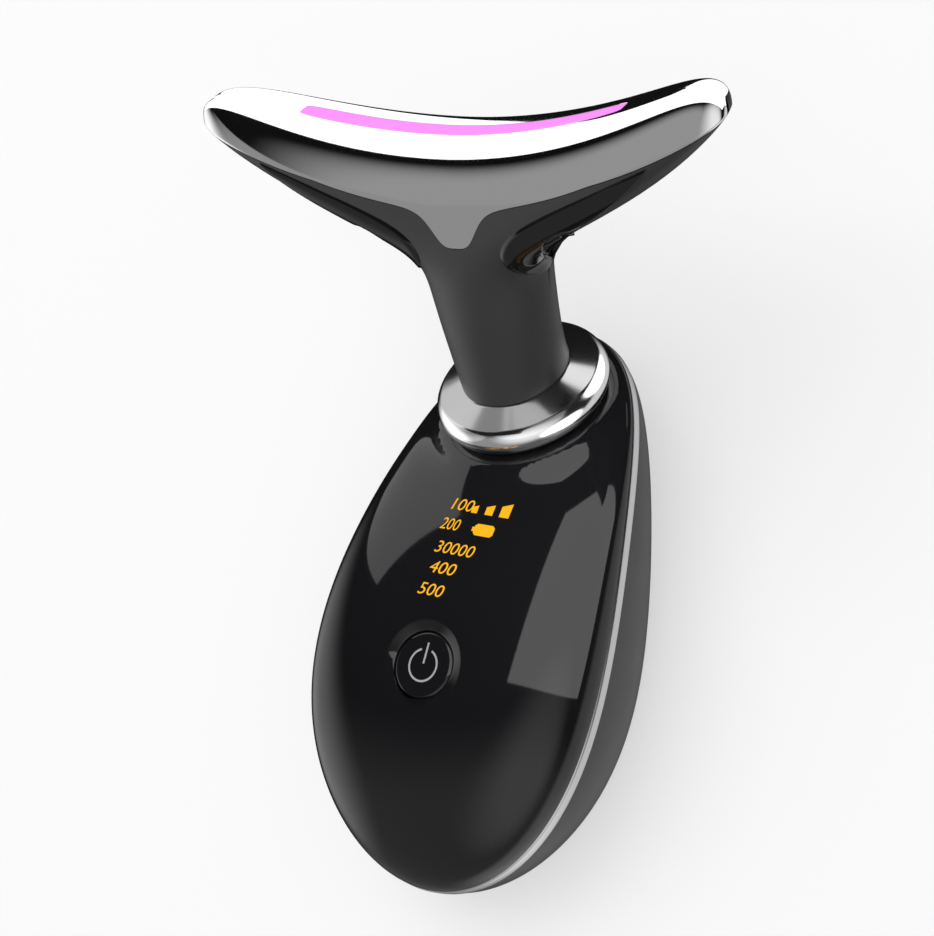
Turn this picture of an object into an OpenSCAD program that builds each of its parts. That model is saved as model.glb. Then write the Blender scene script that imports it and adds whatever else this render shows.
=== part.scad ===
// Facial toning device: an egg-shaped handle lying on its back, a flared neck collar and
// a crescent head with a polished contact plate and a light strip.
// Millimetres. X runs across the handle, Y along it towards the head, Z up and out of the
// front. The rest face is z = 0, and the origin is on it under the middle of the handle.

/* [Handle] */
// Length of the handle
body_len = 84; // [80:0.5:90]
// Width of the handle halfway along
body_mid_w = 45.4; // [43:0.2:49]
// Height of the front edge of the band at the middle of the handle
seam_h = 18.4; // [17.6:0.1:20]
// How far the seam drops from the middle to the two ends
seam_bow = 6.4; // [5:0.1:7]
// Rise of the front cover above the seam at the middle
front_rise = 7.4; // [7:0.1:8.4]
// Depth of the rear cover's curve behind the band
rear_depth = 20.5; // [19:0.1:22]
// Thickness of the two covers
wall = 1.8; // [1.4:0.1:2.2]
// Thickness of the trim band along Z
band_t = 2.2; // [1.8:0.1:2.6]
// Width of the trim band across its wall
band_w = 2.2; // [1.6:0.1:2.8]

/* [Button] */
// Distance of the button behind the middle of the handle
button_back = 12.4; // [11:0.1:14]
// Diameter of the button's cap
button_d = 9.5; // [8:0.1:11]
// Radial clearance of the cap in its well
button_gap = 0.1; // [0.05:0.01:0.2]
// Width of the conical rim around the button
well_rim = 1.4; // [0.8:0.1:2]
// Travel of the button
button_travel = 0.5; // [0.3:0.05:0.6]
// Radius of the power symbol's ring
icon_r = 2.24; // [1.8:0.02:2.8]
// Line width of the power symbol
icon_line = 0.34; // [0.2:0.02:0.5]

/* [Neck] */
// Distance of the collar's centre ahead of the middle of the handle
collar_y = 29.1; // [28:0.1:30]
// Height of the collar's centre
collar_z = 17.7; // [17.2:0.1:18.2]
// Lean of the neck towards the head end, in degrees
neck_lean = 28; // [25:0.5:31]
// Diameter of the collar's foot
collar_d = 26; // [24:0.2:27]
// Height of the collar
collar_h = 6.2; // [5:0.1:8]
// Diameter of the neck where it leaves the collar
neck_d = 16.2; // [15.6:0.1:17]
// Diameter of the neck's spigot inside the collar
spigot_d = 14; // [13:0.1:14.2]
// Bore of the neck's spigot
spigot_bore = 10.8; // [9:0.1:11]

/* [Head] */
// Width of the head over its two tips
head_w = 82.6; // [80:0.2:86]
// Height of the head's face above the collar, along the neck
face_h = 33.9; // [33.2:0.1:35]
// Thickness of the head from its front to its back
head_depth = 14.8; // [14.4:0.1:15.8]
// How far the tips curve up
tip_lift = 10.6; // [8:0.1:12]
// How far the tips curve to the front
tip_sweep = 2.6; // [1.6:0.1:4]
// How far the head leans back from the neck's line
head_set = 10.3; // [8:0.1:12]
// Thickness of the head's moulded shell
head_wall = 1.5; // [1.2:0.1:1.8]
// Thickness of the contact plate
plate_t = 1.2; // [0.9:0.1:1.4]
// Length of the light strip
strip_l = 51.6; // [46:0.2:54]
// Width of the light strip
strip_w = 3.2; // [2.8:0.1:3.8]
// Length of the plate's tongue down the front of the neck
tongue_l = 4.9; // [2:0.1:6]

/* [Inside] */
// Width of the battery
battery_w = 24; // [20:0.5:24.4]
// Length of the battery
battery_l = 35; // [28:0.5:35.4]
// Thickness of the battery
battery_t = 9; // [7:0.1:9.4]
// Height of the main board's underside
board_z = 16; // [15.6:0.1:16.4]
// Thickness of the boards
board_t = 1.2; // [0.8:0.1:1.4]
// Diameter of the vibration motor
motor_d = 8; // [6:0.1:8.6]
// Length of the vibration motor's can
motor_l = 12; // [10:0.1:13]
// Diameter of the wires
wire_d = 1; // [0.6:0.1:1.2]
// Width of the charging socket
usb_w = 8.9; // [8.4:0.1:9.2]
// Height of the charging socket
usb_h = 3.2; // [2.8:0.1:3.4]
// Length of the charging socket
usb_l = 7.3; // [6:0.1:8]

/* [Hidden] */
$fn = 48;

fit = 0.05;
ring_n = 56;
cut = 1;

// ---- general helpers ----

function clamp01(q) = max(0, min(1, q));
function smooth_step(q) = let(c = clamp01(q)) c*c*(3 - 2*c);
// The larger of two numbers, with a soft corner of half width k where they cross.
function soft_max(a, b, k) = let(d = a - b) d > k ? a : d < -k ? b : b + (d + k)*(d + k)/(4*k);
// Signed power, for superellipses.
function part_pow(v, p) = pow(max(0, v), p);

// A closed solid from rings of equal point counts. ends is "fan" (flat ends), "ring" (the
// last ring joins the first) or "zip" (each end closed by quads from side to side).
module loft(rings, ends = "fan") {
  m = len(rings);
  n = len(rings[0]);
  side_rings = ends == "ring" ? m : m - 1;
  sides = [for (i = [0:side_rings - 1], j = [0:n - 1])
    let(b = (i + 1)%m, k = (j + 1)%n) each [[i*n + j, i*n + k, b*n + k], [i*n + j, b*n + k, b*n + j]]];
  last = (m - 1)*n;
  fans = ends == "fan" ? [[for (j = [n - 1:-1:0]) j], [for (j = [0:n - 1]) last + j]] : [];
  half = n/2;
  zips = ends == "zip" ? concat(
    [[1, 0, n - 1], [half, half - 1, half + 1]],
    [[last + n - 1, last, last + 1], [last + half + 1, last + half - 1, last + half]],
    [for (k = [2:half - 1]) [k, k - 1, n - k + 1, n - k]],
    [for (k = [2:half - 1]) [last + n - k, last + n - k + 1, last + k - 1, last + k]]) : [];
  polyhedron(points = [for (ring = rings) each ring], faces = concat(sides, fans, zips), convexity = 6);
}

// A dome of rings closed at both ends by a point.
module pole_loft(rings, first, final) {
  m = len(rings);
  n = len(rings[0]);
  sides = [for (i = [0:m - 2], j = [0:n - 1])
    let(k = (j + 1)%n, b = i + 1) each [[i*n + j, i*n + k, b*n + k], [i*n + j, b*n + k, b*n + j]]];
  starts = [for (j = [0:n - 1]) [m*n, (j + 1)%n, j]];
  finals = [for (j = [0:n - 1]) [m*n + 1, (m - 1)*n + j, (m - 1)*n + (j + 1)%n]];
  polyhedron(points = concat([for (ring = rings) each ring], [first, final]),
    faces = concat(sides, starts, finals), convexity = 6);
}

// A round wire along a route that stays off the X direction.
module wire(route, d) {
  m = len(route);
  sides = 8;
  loft([for (i = [0:m - 1])
    let(ahead = route[min(i + 1, m - 1)] - route[max(i - 1, 0)], along = ahead/norm(ahead),
      raw = cross(along, [1, 0, 0]), up = raw/norm(raw), side = cross(up, along))
    [for (j = [0:sides - 1]) route[i] + d/2*(cos(360*j/sides)*up + sin(360*j/sides)*side)]]);
}

// ---- handle surfaces ----

body_a = body_len/2;
front_min = 2.2;
floor_soft = 0.8;

function egg_shape(u) = 1 - 0.2*u + 0.15*u*u + 0.16*u*u*u;
function egg_point(t, inset) = let(u = -cos(t))
  [(body_mid_w/2 - inset)*sin(t)*egg_shape(u), (body_a - inset)*u];
function seam_z(y) = seam_h - seam_bow*pow(y/body_a, 2);
function front_height(y) = let(u = y/body_a) soft_max(front_rise*(1 - 0.6*u - 0.6*u*u), front_min, 0.8);
function rear_drop(y) = let(u = y/body_a) rear_depth*(1 - 0.3*u - 0.6*u*u);
function front_point(t, r, inset) =
  let(p = egg_point(t, inset)*r, cap = part_pow(1 - pow(r, 4.35), 1/2.31))
  [p.x, p.y, seam_z(p.y) + (front_height(p.y) - inset)*cap];
function rear_point(t, r, inset) =
  let(p = egg_point(t, inset)*r, cap = part_pow(1 - pow(r, 4.5), 1/2.23))
  [p.x, p.y, soft_max(seam_z(p.y) - band_t - (rear_drop(p.y) - inset)*cap, inset, floor_soft)];
// Half width of the handle at a distance y, drawn in by an inset.
function egg_half(y, inset) = let(u = y/(body_a - inset)) (body_mid_w/2 - inset)*sqrt(1 - u*u)*egg_shape(u);

outer_shares = [0.12, 0.3, 0.5, 0.66, 0.78, 0.87, 0.93, 0.97, 0.99, 1];
inner_shares = [0.12, 0.3, 0.55, 0.75, 0.88, 0.95, 0.985, 1];
angles = [for (j = [0:ring_n - 1]) 360*j/ring_n];

// Height of the front cover's outer face on the middle line.
function front_top(y) = let(r = abs(y)/body_a) seam_z(y) + front_height(y)*part_pow(1 - pow(r, 4.35), 1/2.31);

// ---- neck frame: the collar's foot is the origin, +Z along the neck, -Y to the front ----

module at_collar() {
  translate([0, collar_y, collar_z]) rotate([-neck_lean, 0, 0]) children();
}
neck_up = [0, sin(neck_lean), cos(neck_lean)];
neck_front = [0, -cos(neck_lean), sin(neck_lean)];
neck_origin = [0, collar_y, collar_z] + collar_h*neck_up;

// ---- head surfaces, drawn as if straight and then bent ----

tip_x = head_w/2;
wing_start = 10.3;
// Height of the crown over the head's widest ring.
crown_h = 5;
rim_w = face_h - crown_h;
rim_power = 3;
bend_start = 6;
bend_end = 28;
// The strip's distance to the front of the head's middle.
strip_f = 0.9;

function head_bend(w) = smooth_step((w - bend_start)/(bend_end - bend_start));
function bent(x, w, f) = let(q = pow(abs(x)/tip_x, 1.9), g = head_bend(w))
  neck_origin + [x, 0, 0] + (w + tip_lift*q*g)*neck_up
  + (f - head_set*pow(w/face_h, 1.5) + tip_sweep*q*g)*neck_front;
function spread(w) = let(q = clamp01((w - wing_start)/(rim_w - wing_start)))
  pow(q, 5)/(pow(q, 5) + 0.69*pow(1 - q, 2)/pow(1.04 - q, 1.25));
function neck_half(w) = neck_d/2 + 0.1*w;
function head_half(w, inset) = let(s = spread(w - inset))
  neck_half(w) + (tip_x - neck_half(w))*s - inset;
function head_power(w, inset) = 2 + (rim_power - 2)*spread(w - inset);
function depth_mid(w) = head_depth/2 + (neck_d - head_depth)/2*pow(max(0, 1 - w/8), 2);
function depth_at(x, w, inset) = depth_mid(w) - 1.9*pow(x/tip_x, 2) - inset;
// Share of the half width for a ring angle, closer together near the middle for the tongue.
function ring_share(t) = cos(t)*(1 - 0.55*pow(sin(t), 2));
function side_point(t, w, inset) =
  let(share = ring_share(t), x = head_half(w, inset)*share,
    half = depth_at(x, w, inset)*part_pow(1 - pow(abs(share), head_power(w, inset)), 1/head_power(w, inset)))
  [x, w, -sign(sin(t))*half*(abs(sin(t)) < 0.001 ? 0 : 1)];
function face_w(f, inset) = face_h + 0.17*f - 0.01*f*f - inset;
function slot_point(t, grow) = let(share = ring_share(t))
  [(strip_l/2 + grow)*share, strip_f - sign(sin(t))*(strip_w/2 + grow)*part_pow(1 - pow(abs(share), 8), 1/8)];
// A point of the crown: phi is 1 at the widest ring and 0 at the light strip's slot.
function crown_point(t, phi, inset) =
  let(rim = side_point(t, rim_w, inset), slot = slot_point(t, 0),
    x = phi*rim.x + (1 - phi)*slot.x, f = phi*rim.z + (1 - phi)*slot.y,
    half_x = head_half(rim_w, inset),
    half_f = max(0.01, depth_at(x, rim_w, inset)*part_pow(1 - pow(abs(x)/half_x, rim_power), 1/rim_power)),
    across = part_pow(1 - pow(min(1, abs(f)/half_f), f > 0 ? 8 : 5), 0.5),
    along = part_pow(1 - pow(min(1, abs(x)/half_x), 10), 0.5),
    rise = phi >= 1 ? 0 : across*along)
  [x, rim_w + (face_w(f, inset) - rim_w)*rise, f];
// A point by its station v: 0 at the collar, 1 at the widest ring, 2 at the slot.
function head_point(t, v, inset) =
  let(p = v <= 1 ? side_point(t, rim_w*v, inset) : crown_point(t, 1 - pow(v - 1, 2), inset))
  bent(p.x, p.y, p.z);

// Lower edge of the contact plate on the front, with its tongue.
function plate_edge(x) = 27.8 + 2.8*pow(x/tip_x, 2) - tongue_l/(1 + pow(x/3.8, 4));
function edge_station(t, w, turns) = turns == 0 ? w
  : edge_station(t, min(rim_w - 0.3, plate_edge(head_half(w, 0)*ring_share(t))), turns - 1);
rear_edge = 4.8;
function rear_station(t) =
  let(half = abs(side_point(t, rim_w, 0).z),
    phi = min(0.97, (rear_edge - strip_w/2)/max(0.5, half - strip_w/2)))
  1 + sqrt(1 - max(0, phi));
// Where the contact plate ends at each ring angle: the front edge, or the edge behind the strip.
function plate_station(t) = t > 180.5 ? edge_station(t, 27, 8)/rim_w : rear_station(t);
plate_gap = 0.01;

// ---- modules of the nodes ----

module front_cover_shell() {
  pole_loft(concat(
    [for (r = outer_shares) [for (t = angles) front_point(t, r, 0)]],
    [for (i = [len(inner_shares) - 1:-1:0]) [for (t = angles) front_point(t, inner_shares[i], wall)]]),
    front_point(0, 0, 0), front_point(0, 0, wall));
}

module rear_cover_shell() {
  pole_loft(concat(
    [for (r = inner_shares) [for (t = angles) rear_point(t, r, wall)]],
    [for (i = [len(outer_shares) - 1:-1:0]) [for (t = angles) rear_point(t, outer_shares[i], 0)]]),
    rear_point(0, 0, wall), rear_point(0, 0, 0));
}

button_y = -button_back;
button_z = front_top(button_y);
well_depth = 0.5;
well_r = button_d/2 + button_gap;
button_top = button_z - well_depth + 0.1;
flange_r = button_d/2 + 1.2;
stop_z = button_z - 2.9;
flange_t = 0.8;

case_tail = [15.6, -12];
case_head = [12.8, 13];
case_places = [for (p = [case_tail, case_head], s = [-1, 1]) [s*p.x, p.y]];
board_inset = 6;
board_tail_y = 12 - body_a;
board_head_y = collar_y - spigot_d/2 - 3.6;
board_hole_in = 2.4;
board_top = board_z + board_t + fit;
board_hole_y = board_tail_y + 2.5*board_hole_in;
board_hole_x = egg_half(board_hole_y, board_inset) - board_hole_in;
board_places = [
  [-board_hole_x, board_hole_y], [board_hole_x, board_hole_y], [0, board_head_y - board_hole_in]
];
meet_z = 13.5;
boss_r = 2.6;
rear_boss_r = 3.2;
screw_r = 0.95;
small_screw_r = 0.8;
board_screw_l = board_t + 3;
hole_gap = 0.03;
post_r = 2;

seat_r = collar_d/2 + 0.25;
seat_t = 2.6;
seat_foot_r = 16.5;
seal_r = 10.5;
seal_line = 1.4;
seal_depth = 0.6;

module front_cover() {
  color("#161617") difference() {
    union() {
      difference() {
        front_cover_shell();
        at_collar() cylinder(r = seat_r, h = 6);
      }
      translate([0, button_y, stop_z]) cylinder(r = flange_r + 1.2, h = button_z - stop_z - 0.8);
      for (p = case_places)
        translate([p.x, p.y, meet_z + 0.1]) cylinder(r = boss_r, h = front_inner(p.x, p.y) - meet_z + 0.3);
      for (p = board_places)
        translate([p.x, p.y, board_top]) cylinder(r = post_r, h = front_inner(p.x, p.y) - board_top + 0.35);
      intersection() {
        at_collar() translate([0, 0, -seat_t]) cylinder(r1 = seat_foot_r, r2 = seat_r, h = seat_t);
        seam_block();
      }
    }
    translate([0, button_y, stop_z - cut]) cylinder(r = well_r, h = 6);
    translate([0, button_y, button_z - well_depth])
      cylinder(r1 = well_r, r2 = well_r + 2*well_rim, h = 2*well_depth);
    at_collar() translate([0, 0, -8]) cylinder(r = spigot_d/2 + 0.1, h = 12);
    at_collar() translate([0, 0, retainer_top - retainer_t - 6])
      cylinder(r = retainer_r + 0.3, h = retainer_t + 6);
    at_collar() translate([0, 0, -seal_depth]) ring(seal_r, seal_line + 2*fit, seal_depth + cut);
    for (p = case_places) translate([p.x, p.y, meet_z - cut]) cylinder(r = screw_r + hole_gap, h = 7);
    for (p = board_places)
      translate([p.x, p.y, board_z]) cylinder(r = small_screw_r + hole_gap, h = board_screw_l + 0.4);
  }
}

// Everything above the seam and a little inside the outline of the handle.
module seam_block() {
  pole_loft(concat(
    [for (r = [0.5, 1]) [for (t = angles) let(p = egg_point(t, 0.6)*r) [p.x, p.y, 40]]],
    [for (r = [1, 0.8, 0.6, 0.3])
      [for (t = angles) let(p = egg_point(t, 0.6)*r) [p.x, p.y, seam_z(p.y) + 0.03]]]),
    [0, 0, 40], [0, 0, seam_z(0) + 0.03]);
}

// Height of the front cover's inner face over a place on the plan.
function front_inner(x, y) =
  let(u = y/body_a, half = (body_mid_w/2 - wall)*egg_shape(u)*sqrt(1 - u*u),
    r = pow(pow(abs(x)/half, 2.2) + pow(abs(u), 2.2)*0.4, 1/2.2))
  seam_z(y) + (front_height(y) - wall)*part_pow(1 - pow(min(1, r), 4.35), 1/2.31);

module ring(r, line, h) {
  rotate_extrude() translate([r - line/2, 0]) square([line, h]);
}

module trim_band() {
  edge = [
    [0, -0.03], [0.2, -0.25*band_t], [0.2, -0.75*band_t],
    [0, 0.03 - band_t], [-band_w, 0.03 - band_t], [-band_w, -0.03]
  ];
  color("#a9a9ab") difference() {
    loft([for (i = [0:len(edge) - 1])
      [for (t = angles) let(p = egg_point(t, -edge[i].x)) [p.x, p.y, seam_z(p.y) + edge[i].y]]], "ring");
    at_collar() cylinder(r = seat_r, h = 6);
  }
}

usb_z = 8.2;
usb_mouth = -body_a + 1;
usb_wall = 0.3;

module slot_shape(w, h, l) {
  // A bar with rounded sides along +Y, centred on X and Z.
  rotate([-90, 0, 0]) linear_extrude(l) {
    square([w - h, h], center = true);
    for (s = [-1, 1]) translate([s*(w - h)/2, 0]) circle(d = h);
  }
}

rib_t = 1.2;
rib_h = 5;
battery_y0 = 15 - body_a;
battery_gap = 0.3;

module rear_cover() {
  color("#3b3b3d") difference() {
    union() {
      rear_cover_shell();
      for (p = case_places) translate([p.x, p.y, wall/2]) cylinder(r = rear_boss_r, h = meet_z - wall/2);
      for (y = [battery_y0 - battery_gap - rib_t, battery_y0 + battery_l + battery_gap])
        translate([-battery_w/3, y, wall/2]) cube([battery_w*2/3, rib_t, rib_h]);
      for (s = [-1, 1])
        translate([s*charge_hole_x, charge_y0 + charge_hole, wall/2]) cylinder(r = 1.6, h = charge_z - wall/2);
    }
    for (p = case_places) {
      translate([p.x, p.y, -cut]) cylinder(r = 2.2, h = head_seat_z + cut);
      translate([p.x, p.y, -cut]) cylinder(r = screw_r + 0.15, h = meet_z + 2*cut);
    }
    translate([0, -body_a - 2, usb_z]) slot_shape(usb_w + 0.3, usb_h + 0.3, 7);
    for (s = [-1, 1])
      translate([s*charge_hole_x, charge_y0 + charge_hole, wall + 0.4])
        cylinder(r = small_screw_r + hole_gap, h = charge_z);
  }
}

head_seat_z = 9;

module case_screws() {
  color("#b5b5b8") for (p = case_places) translate([p.x, p.y, head_seat_z]) {
    translate([0, 0, -1.2]) difference() {
      cylinder(r = 1.9, h = 1.2);
      translate([0, 0, -cut]) cylinder(r = 0.9, h = cut + 0.6, $fn = 6);
    }
    cylinder(r = screw_r, h = meet_z + 5 - head_seat_z);
  }
}

button_foot = stop_z - fit - flange_t;
plunger_r = 1.75;
plunger_gap = 0.05;
switch_h = 3.5;
switch_top = board_z + board_t + fit + switch_h;
plunger_in = 0.9;
plunger_top = switch_top + plunger_in;

module power_button() {
  color("#151516") translate([0, button_y, 0]) difference() {
    union() {
      translate([0, 0, button_foot]) rotate_extrude() polygon(concat(
        [[0, 0], [flange_r, 0], [flange_r, flange_t], [button_d/2, flange_t]],
        [for (a = [0:15:90]) [button_d/2 - 0.6 + 0.6*cos(a), button_top - button_foot - 0.6 + 0.6*sin(a)]],
        [[0, button_top - button_foot]]));
      translate([0, 0, plunger_top + fit]) cylinder(r = 1.3, h = button_foot - plunger_top);
    }
    translate([0, 0, button_top - icon_t]) icon_shape(0.02, 2*icon_t);
  }
}

icon_t = 0.2;

module icon_shape(grow, h) {
  line = icon_line + 2*grow;
  difference() {
    ring(icon_r, line, h);
    translate([-0.9 + grow, 0, -cut]) cube([1.8 - 2*grow, icon_r + 1, h + 2*cut]);
  }
  translate([-line/2, 0.2 - grow, 0]) cube([line, icon_r + 0.9 + 2*grow, h]);
}

module power_icon() {
  color("#8a8a8c") translate([0, button_y, button_top - icon_t]) icon_shape(0, icon_t);
}

// Radius of the collar's rounded foot.
collar_foot_r = 2.6;

module neck_collar() {
  foot = collar_foot_r;
  slope = atan2(collar_d/2 - neck_d/2, collar_h);
  color("#cfcfd2") at_collar() rotate_extrude($fn = 96) polygon(concat(
    [[spigot_d/2 + fit, fit], [collar_d/2 - foot, fit]],
    [for (a = [-80:10:80 - slope]) [collar_d/2 - foot + foot*cos(a), foot + fit + foot*sin(a)]],
    [[neck_d/2 + 0.02, collar_h - fit], [spigot_d/2 + fit, collar_h - fit]]));
}

module collar_seal() {
  color("#222222") at_collar() translate([0, 0, -seal_depth + 0.02]) ring(seal_r, seal_line, seal_depth);
}

retainer_t = 1.4;
retainer_top = -seat_t - fit;
retainer_r = spigot_d/2 + 0.6;
neck_screw_r = 0.7;
neck_screw_ring = (spigot_d + spigot_bore)/4;

module neck_places() {
  for (a = [30:120:270]) rotate(a) translate([neck_screw_ring, 0, 0]) children();
}

module neck_retainer() {
  color("#2a2a2c") at_collar() difference() {
    translate([0, 0, retainer_top - retainer_t]) cylinder(r = retainer_r, h = retainer_t);
    translate([0, 0, retainer_top - retainer_t - cut]) {
      cylinder(r = spigot_bore/2 - 0.6, h = retainer_t + 2*cut);
      neck_places() cylinder(r = neck_screw_r + 0.1, h = retainer_t + 2*cut);
    }
  }
}

module neck_screws() {
  color("#b5b5b8") at_collar() neck_places() {
    translate([0, 0, retainer_top - retainer_t - 1]) cylinder(r = 1.3, h = 1);
    translate([0, 0, retainer_top - retainer_t]) cylinder(r = neck_screw_r, h = retainer_t + 4);
  }
}

shell_outer = [0, 0.14, 0.3, 0.42, 0.51, 0.58, 0.64, 0.69, 0.74, 0.785, 0.825, 0.865, 0.9, 0.935, 0.97, 1];
shell_inner = [1, 0.93, 0.85, 0.76, 0.68, 0.58, 0.45, 0.25, 0];

function shell_ring(share, inset) =
  [for (t = angles) head_point(t, share*(plate_station(t) - plate_gap), inset)];

module head_shell() {
  color("#424244") {
    difference() {
      union() {
        loft(concat(
          [for (i = [len(shell_outer) - 1:-1:0]) shell_ring(shell_outer[i], 0)],
          [for (i = [len(shell_inner) - 1:-1:0]) shell_ring(shell_inner[i], head_wall)]), "ring");
        at_collar() translate([0, 0, -seat_t]) cylinder(r = spigot_d/2, h = seat_t + collar_h + 0.8);
      }
      at_collar() translate([0, 0, -seat_t - cut]) {
        cylinder(r = spigot_bore/2, h = seat_t + collar_h + cut + 2);
        neck_places() cylinder(r = neck_screw_r + hole_gap, h = 6);
      }
      leaves(-leaf_sunk - leaf_gap, leaf_proud + cut, leaf_gap, leaf_gap_a);
    }
  }
}

// The leaf starts round and low on the side of the neck, and runs out to a point under the
// wing. Its two edges are angles round the head: 0 is the side and 90 the front.
leaf_start = 16;
leaf_end = 28.2;
leaf_foot_a = -12;
leaf_tip_a = 48;
leaf_proud = 0.2;
leaf_sunk = 0.5;
leaf_gap = 0.1;
leaf_gap_a = 0.8;

leaf_turn_a = leaf_tip_a - leaf_foot_a;
function leaf_front(q) = leaf_foot_a + leaf_turn_a*q + 113*sqrt(q)*pow(1 - q, 0.6);
function leaf_back(q) = leaf_foot_a + leaf_turn_a*smooth_step((q - 0.2)/0.45) - 30*sqrt(q)*pow(1 - q, 2);
// A point of the head's surface at a height w and an angle a, moved out.
function flank_point(w, a, out) =
  let(n = head_power(w, -out), x = head_half(w, -out)*pow(cos(a), 2/n))
  bent(x, w, sign(a)*depth_at(x, w, -out)*pow(abs(sin(a)), 2/n));

// The two leaves, from one height over the head's surface to another. gap and gap_a widen them.
module leaves(low, high, gap, gap_a) {
  steps = 16;
  rows = 8;
  for (side = [0, 1])
    mirror([side, 0, 0]) loft([for (i = [0:steps])
      let(q = 0.5 - 0.496*cos(180*i/steps),
        w = leaf_start + (leaf_end - leaf_start)*q + gap*(2*q - 1),
        back = leaf_back(q) - gap_a, front = leaf_front(q) + gap_a)
      concat(
        [for (j = [0:rows]) flank_point(w, back + (front - back)*j/rows, high)],
        [for (j = [rows:-1:0]) flank_point(w, back + (front - back)*j/rows, low)])]);
}

module side_inlays() {
  color("#0c0c0d") leaves(-leaf_sunk, leaf_proud, 0, 0);
}

plate_outer = [0, 0.06, 0.14, 0.24, 0.36, 0.5, 0.65, 0.82, 1];
plate_inner = [1, 0.8, 0.6, 0.4, 0.2, 0];

function plate_ring(share, inset) =
  [for (t = angles) let(s = plate_station(t)) head_point(t, s + (2 - s)*share, inset)];

module head_electrode() {
  color("#d6d6d9") loft(concat(
    [for (i = [len(plate_outer) - 1:-1:0]) plate_ring(plate_outer[i], 0)],
    [for (i = [len(plate_inner) - 1:-1:0]) plate_ring(plate_inner[i], plate_t)]), "ring");
}

module led_lens() {
  lens_t = plate_t + 0.6;
  color("#f39bf5") loft([for (drop = [0, lens_t])
    [for (t = angles) let(p = slot_point(t, -fit)) bent(p.x, face_w(p.y, 0) - drop, p.y)]], "zip");
}

// A bar that follows the head's bend, between two places along X.
module bent_bar(x0, x1, w0, w1, f0, f1, steps) {
  loft([for (i = [0:steps]) let(x = x0 + (x1 - x0)*i/steps)
    [bent(x, w0, f0), bent(x, w0, f1), bent(x, w1, f1), bent(x, w1, f0)]]);
}

led_top = face_h - plate_t - 0.6 - 0.05 - 0.4;
led_h = 0.7;
led_board_t = 0.5;
led_board_half = strip_l/2;

module led_board() {
  low = led_top - led_h - led_board_t;
  color("#1f5a3a")
    bent_bar(-led_board_half, led_board_half, low, low + led_board_t, strip_f - 2.4, strip_f + 2.4, 16);
}

module head_leds() {
  count = 9;
  pitch = (strip_l - 6)/(count - 1);
  color("#f4ecd8") for (i = [0:count - 1]) let(x = (i - (count - 1)/2)*pitch)
    bent_bar(x - 0.8, x + 0.8, led_top - led_h + 0.03, led_top, strip_f - 0.7, strip_f + 0.7, 1);
}

module head_carrier() {
  top = led_top - led_h - led_board_t - 0.05;
  color("#2a2a2c") {
    bent_bar(-led_board_half, led_board_half, top - 1.4, top, strip_f - 2.8, strip_f + 2.8, 16);
    for (s = [-1, 1])
      bent_bar(s*foot_x - 1.5, s*foot_x + 1.5, foot_w, top - 1.2, -1.8, 1.8, 1);
  }
}

foot_w = rim_w - 2.6;
foot_x = strip_l/2 - 3.8;

module heater_film() {
  film_f = strip_f + strip_w/2 + 0.5;
  film_w = face_w(film_f, plate_t) - 0.9;
  film_half = strip_l/2 - 4;
  color("#b36b2a") bent_bar(-film_half, film_half, film_w, film_w + 0.18, film_f, film_f + 1.6, 16);
}

module temperature_sensor() {
  color("#1d1d1f") translate(bent(8, face_w(4, plate_t) - 2, 4.2)) sphere(r = 0.7, $fn = 24);
}

// The motor lies along a chord of the bent neck.
motor_w0 = 7;
motor_w1 = 20;
motor_foot = bent(0, motor_w0, 0);
motor_way = bent(0, motor_w1, 0) - motor_foot;
motor_tilt = atan2(motor_way.y, motor_way.z);

module at_motor() {
  translate(motor_foot) rotate([-motor_tilt, 0, 0]) children();
}

shaft_r = 0.75;
shaft_gap = 0.05;
weight_l = 4.6;

module motor_sleeve() {
  color("#1b1b1b") at_motor() translate([0, 0, 1]) difference() {
    cylinder(r = motor_d/2 + 1.1, h = motor_l - 2);
    translate([0, 0, -cut]) cylinder(r = motor_d/2 + 0.02, h = motor_l + 2*cut);
  }
}

module motor_can() {
  color("#c2c2c4") at_motor() difference() {
    cylinder(r = motor_d/2, h = motor_l);
    translate([0, 0, motor_l - 4]) cylinder(r = shaft_r + shaft_gap, h = 4 + cut);
  }
}

module motor_rotor() {
  color("#8e8f92") at_motor() translate([0, 0, motor_l]) {
    translate([0, 0, -3.8]) cylinder(r = shaft_r, h = 4.6 + weight_l);
    difference() {
      translate([0, 0, 0.6]) cylinder(r = motor_d/2 - 0.8, h = weight_l);
      translate([-motor_d, 0.9, 0]) cube([2*motor_d, motor_d, weight_l + 2]);
    }
  }
}

// Half of the pair of wires from the underside of the main board, under the retainer, up the
// spigot and past the motor to the light strip's board.
head_route = concat(
  [[6, 12.6, board_z - 0.6], [5.8, 16.6, board_z - 0.9], [5, 20.4, 13.4], [3.8, 24, 11.2], [3.3, 26.4, 12.6]],
  [for (k = [-1:2:5]) neck_origin + (k - collar_h)*neck_up + [3.6 + 0.2*k, 0, 0]],
  [neck_origin + 1.4*neck_up + [4.7, 0, 0]],
  [for (w = [4:4:28]) bent(6.1 + 0.02*w, w, 0)]);

module head_wires() {
  color("#8c1f1f") for (s = [-1, 1]) wire([for (p = head_route) [s*p.x, p.y, p.z]], wire_d);
}

module main_board() {
  color("#1d4d33") difference() {
    intersection() {
      translate([0, 0, board_z]) linear_extrude(board_t) polygon([for (t = angles) egg_point(t, board_inset)]);
      translate([-body_mid_w/2, board_tail_y, 0]) cube([body_mid_w, board_head_y - board_tail_y, seam_h]);
    }
    for (p = case_places) translate([p.x, p.y, board_z - cut]) cylinder(r = boss_r + 0.5, h = board_t + 2*cut);
    for (p = board_places)
      translate([p.x, p.y, board_z - cut]) cylinder(r = small_screw_r + 0.15, h = board_t + 2*cut);
  }
}

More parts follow.
